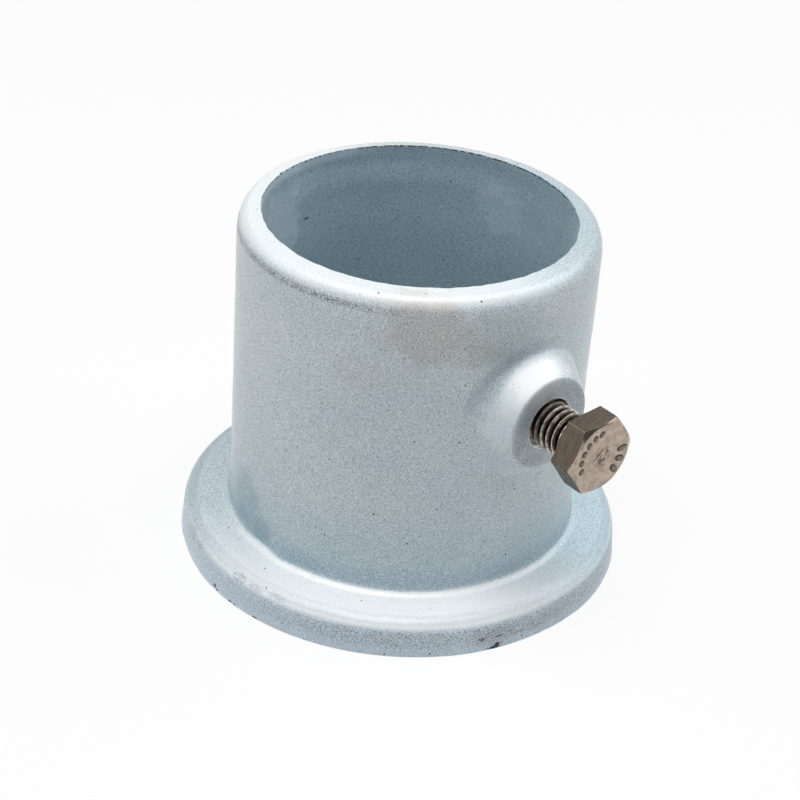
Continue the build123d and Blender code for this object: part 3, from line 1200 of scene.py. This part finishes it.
# %% Zinc coat: pinholes
large_holes = place_group(
    tree, sparse_specks, Point=point, Spacing=2.5 * mm, Size=0.19 * mm, Share=0.5)["Mask"]
small_holes = place_group(
    tree, sparse_specks, Point=point, Spacing=1.2 * mm, Size=0.11 * mm, Share=0.30)["Mask"]
pinholes = either(tree, large_holes, times(tree, small_holes, 0.65))
colour = lay(tree, times(tree, pinholes, 0.9), colour, (0.06, 0.065, 0.07))
print("zinc coat:", len(tree.nodes), "nodes, with its pinholes")

# %% [markdown]
# ## Zinc coat: shine and relief
# Zinc is a metal, but its dull crystal skin reflects like paint, so the shader's metallic value is low and
# only the bare countersink is true metal. Chips and the burr are rough. A bump node turns the mottle, the
# grain, the pinholes and the chips into height, a few hundredths of a millimetre at most: modelled, such
# small forms would need millions of faces.

# %% Zinc coat: roughness and metal
rough = remap(tree, mottle, 0.3, 0.7, 0.42, 0.52)
rough = sums(tree, "ADD", rough, times(tree, in_bore, 0.04))
rough = sums(tree, "ADD", rough, times(tree, either(tree, iron_chips, burr), 0.3))
rough = sums(tree, "SUBTRACT", rough, times(tree, bare, 0.24))
# Less metal under the painted highlights, and more on the bare countersink.
metal = sums(tree, "ADD", remap(tree, painted_highlight, 0.0, 1.0, 0.25, 0.12), times(tree, bare, 0.75))
print("zinc coat:", len(tree.nodes), "nodes, with roughness and metal")

# %% Zinc coat: relief, and the shader
relief = sums(tree, "ADD", times(tree, mottle, 0.7), times(tree, grain, 0.25))
relief = sums(tree, "ADD", relief, times(tree, side_grain, foot_side, 0.5))
relief = sums(tree, "SUBTRACT", relief, times(tree, pinholes, 0.9))
relief = sums(tree, "SUBTRACT", relief, iron_chips)
relief_node = add(tree, "ShaderNodeBump", {"Height": relief, "Strength": 0.55, "Distance": 0.05 * mm})
tree.links.new(colour, zinc_shader.inputs["Base Color"])
tree.links.new(rough, zinc_shader.inputs["Roughness"])
tree.links.new(metal, zinc_shader.inputs["Metallic"])
tree.links.new(relief_node.outputs[0], zinc_shader.inputs["Normal"])
zinc_shader.inputs["Sheen Weight"].default_value = 0.45
zinc_shader.inputs["Sheen Roughness"].default_value = 0.25
print("zinc coat:", len(tree.nodes), "nodes in all")

sharp_angle = radians(35)
finish_piece(casting, "flange", [zinc], "casting", "flange_casting", sharp_angle)

# %% [markdown]
# ## Finish: bolt steel
# Plain stainless steel from a cold header: warm grey, and a little brown. The six flats are dark, and carry
# fine lines round the head from the trimming die. The face is paler and mottled, and the feet of its marks
# are laid dark, as painted shade; one corner of the cone is laid near-black, as a painted reflection. The
# thread's crests are laid bright, as painted highlights, and its roots near-black, as painted shade. Flats,
# face and thread could be three materials on their own faces, but they share one grain and one relief, so
# one material lays the three colours by their place along the bolt's axis.

# %% Bolt steel: places on the bolt
steel = bpy.data.materials.new("bolt steel")
steel.use_nodes = True
tree = steel.node_tree
steel_shader = tree.nodes["Principled BSDF"]
point = add(tree, "ShaderNodeTexCoord").outputs["Object"]
round_bolt = places_round_bolt(tree, point)
radius, along = round_bolt["Radius"], round_bolt["Along"]
below_face = times(tree, sums(tree, "SUBTRACT", radius, face_radius), tan(face_cone))
to_cone = sums(tree, "ADD", along, either(tree, below_face, 0.0))
on_face = remap(tree, to_cone, face_plane - 0.11 * mm, face_plane - 0.05 * mm)
on_head = remap(tree, along, bearing - 0.15 * mm, bearing - 0.05 * mm)
print("bolt steel:", len(tree.nodes), "nodes give the places")

# %% Bolt steel: flats and face
mottle = texture(tree, point, 1.3 * mm, 4.0)
grain = place_group(tree, fine_grain, Point=point, Size=0.22 * mm, Contrast=2.4)["Grain"]
line_point = add(tree, "ShaderNodeMapping", {"Vector": point, "Scale": (1.0, 0.07, 0.07)}).outputs[0]
lines = texture(tree, line_point, 0.16 * mm, 3.0)
flats = lay(tree, remap(tree, lines, 0.3, 0.7), (0.072, 0.056, 0.040), (0.148, 0.120, 0.092))
flats = lay(tree, remap(tree, grain, 0.3, 0.9, 0.0, 0.4), flats, (0.195, 0.165, 0.13))
face = lay(tree, remap(tree, mottle, 0.3, 0.7), (0.35, 0.28, 0.225), (0.53, 0.44, 0.365))
face = lay(tree, remap(tree, grain, 0.1, 0.6, 0.55, 0.0), face, (0.19, 0.155, 0.13))
print("bolt steel:", len(tree.nodes), "nodes, with flats and face")

# %% Bolt steel: scuffs, and painted shade round the marks
scuff = remap(tree, texture(tree, point, 0.8 * mm, 4.0), 0.44, 0.58)
scuff = times(tree, scuff, remap(tree, radius, 3.0 * mm, 1.2 * mm))
face = lay(tree, times(tree, scuff, 0.85), face, (0.09, 0.07, 0.06))
by_marks = remap(tree, radius, 3.5 * mm, 4.2 * mm)
# Painted shade: a dark ring round the feet of the raised marks.
mark_feet_shade = place_group(
    tree, soft_band, Value=along, Low=face_plane + 0.02 * mm, High=face_plane + 0.12 * mm,
    Softness=0.02 * mm)["Mask"]
face = lay(tree, times(tree, mark_feet_shade, by_marks, 0.9), face, (0.04, 0.032, 0.028))
mark_tops = times(tree, remap(tree, along, face_plane + 0.10 * mm, face_plane + 0.14 * mm), by_marks)
face = lay(tree, times(tree, mark_tops, 0.8), face, (0.13, 0.108, 0.09))
print("bolt steel:", len(tree.nodes), "nodes, with scuffs and marks")

# %% Bolt steel: a painted dark reflection on one corner
on_cone = remap(tree, radius, face_radius, face_radius + 0.12 * mm)
# Painted reflection: one corner of the cone is laid near-black.
painted_dark_reflection = times(tree, on_face, on_cone, towards(tree, round_bolt["Turn"], 202, 0.84, 0.95))
colour = lay(tree, on_face, flats, face)
colour = lay(tree, times(tree, painted_dark_reflection, 0.9), colour, (0.02, 0.017, 0.015))
print("bolt steel:", len(tree.nodes), "nodes, with the oil film")

# %% Bolt steel: the thread
# Painted highlight and shade: the crests are laid bright and the roots near-black.
crests = remap(tree, radius, root_radius + 0.42 * mm, thread_radius - 0.01 * mm)
threads = lay(tree, crests, (0.012, 0.009, 0.007), (0.74, 0.68, 0.62))
threads = lay(tree, remap(tree, mottle, 0.38, 0.66, 0.0, 0.75), threads, (0.06, 0.045, 0.035))
# The thread is laid darker towards the boss's face.
dark_by_boss_face = remap(tree, along, boss_face + 2.4 * mm, boss_face + 0.8 * mm)
threads = lay(tree, times(tree, dark_by_boss_face, 0.7), threads, (0.05, 0.038, 0.03))
colour = lay(tree, on_head, threads, colour)
print("bolt steel:", len(tree.nodes), "nodes, with the thread")

# %% Bolt steel: specks, shine and relief
specks = place_group(tree, sparse_specks, Point=point, Spacing=1.1 * mm, Size=0.14 * mm, Share=0.35)["Mask"]
colour = lay(tree, times(tree, specks, 0.7), colour, (0.07, 0.055, 0.045))
rough = remap(tree, mottle, 0.3, 0.7, 0.24, 0.38)
relief = sums(tree, "ADD", times(tree, grain, 0.3), times(tree, lines, 0.3))
relief = sums(tree, "SUBTRACT", relief, either(tree, scuff, specks))
relief_node = add(tree, "ShaderNodeBump", {"Height": relief, "Strength": 0.5, "Distance": 0.03 * mm})
tree.links.new(colour, steel_shader.inputs["Base Color"])
tree.links.new(rough, steel_shader.inputs["Roughness"])
tree.links.new(relief_node.outputs[0], steel_shader.inputs["Normal"])
steel_shader.inputs["Metallic"].default_value = 1.0
print("bolt steel:", len(tree.nodes), "nodes in all")

finish_piece(bolt, "bolt", [steel], "bolt", "set_bolt", sharp_angle)
